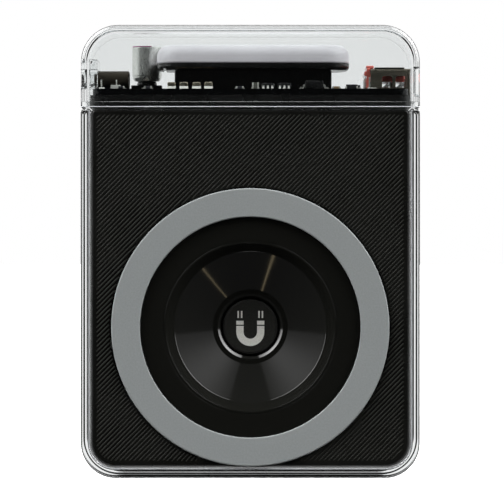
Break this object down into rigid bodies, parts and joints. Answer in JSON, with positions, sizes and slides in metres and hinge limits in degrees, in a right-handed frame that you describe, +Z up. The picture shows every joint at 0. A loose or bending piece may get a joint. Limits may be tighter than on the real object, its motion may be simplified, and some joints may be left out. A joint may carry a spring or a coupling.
{
  "type": "demagnetizer",
  "caption": "Portable demagnetizer in a clear case: black body with a round dish, pad ring and push button, and a clear cap over a circuit board with side sockets.",
  "frame": {"origin": "middle of the bottom face that the case stands on", "axes": "+X to the right of a person facing the dish, +Y towards the back cover, +Z up to the clear cap"},
  "size_m": [0.072, 0.028, 0.0962],
  "materials": {
    "clear_plastic": "polished clear polycarbonate",
    "black_satin": "satin moulded",
    "black_gloss": "glossy moulded",
    "pad_silicone": "matt silicone",
    "white_plastic": "translucent satin",
    "red_plastic": "moulded insulator",
    "bright_steel": "nickel plated",
    "dark_steel": "dull tin plated",
    "can_aluminium": "drawn can",
    "copper_wire": "enamelled copper",
    "circuit_board": "black solder mask",
    "chip_resin": "moulded epoxy",
    "chip_ceramic": "sintered",
    "battery_wrap": "shrink sleeve",
    "red_rubber": "wire insulation",
    "black_rubber": "wire insulation"
  },
  "bodies": {
    "case": {"top_cap": "clear_plastic", "clear_sleeve": "clear_plastic", "front_panel": "black_satin", "main_housing": "black_satin", "back_cover": "black_satin", "board_tray": "black_satin", "capacitor_foot": "black_satin", "light_frame": "black_satin", "light_box": "black_satin", "usb_c_tongue": "black_satin", "dish": "black_gloss", "pad_ring": "pad_silicone", "light_diffuser": "white_plastic", "coil_bobbin": "white_plastic", "lamp_1": "white_plastic", "lamp_2": "white_plastic", "lamp_3": "white_plastic", "lamp_4": "white_plastic", "usb_a_insulator": "red_plastic", "usb_c_shell": "bright_steel", "back_screw_1": "bright_steel", "back_screw_2": "bright_steel", "back_screw_3": "bright_steel", "back_screw_4": "bright_steel", "switch_screw_1": "bright_steel", "switch_screw_2": "bright_steel", "board_screw_1": "bright_steel", "board_screw_2": "bright_steel", "battery_tab_minus": "bright_steel", "battery_tab_plus": "bright_steel", "switch_body": "bright_steel", "usb_a_shell": "dark_steel", "chip_inductor": "dark_steel", "capacitor_can": "can_aluminium", "coil_winding": "copper_wire", "coil_lead_start": "copper_wire", "coil_lead_end": "copper_wire", "main_board": "circuit_board", "button_board": "circuit_board", "driver_chip": "chip_resin", "logic_chip_1": "chip_resin", "logic_chip_2": "chip_resin", "chip_resistor_1": "chip_resin", "chip_resistor_2": "chip_resin", "chip_resistor_3": "chip_resin", "chip_resistor_4": "chip_resin", "flat_diode_1": "chip_resin", "flat_diode_2": "chip_resin", "ceramic_capacitor_1": "chip_ceramic", "ceramic_capacitor_2": "chip_ceramic", "ceramic_capacitor_3": "chip_ceramic", "ceramic_capacitor_4": "chip_ceramic", "battery_cell": "battery_wrap", "battery_lead_plus": "red_rubber", "battery_lead_minus": "black_rubber", "switch_lead": "black_rubber"},
    "button": {"button_cap": "black_gloss", "switch_plunger": "black_satin"}
  },
  "joints": [
    {"name": "button_press", "type": "slide", "parent": "case", "child": "button", "axis": [0, 1, 0], "range_m": [0, 0.0005], "stiffness_N_per_m": 800, "springref_m": -0.001}
  ]
}
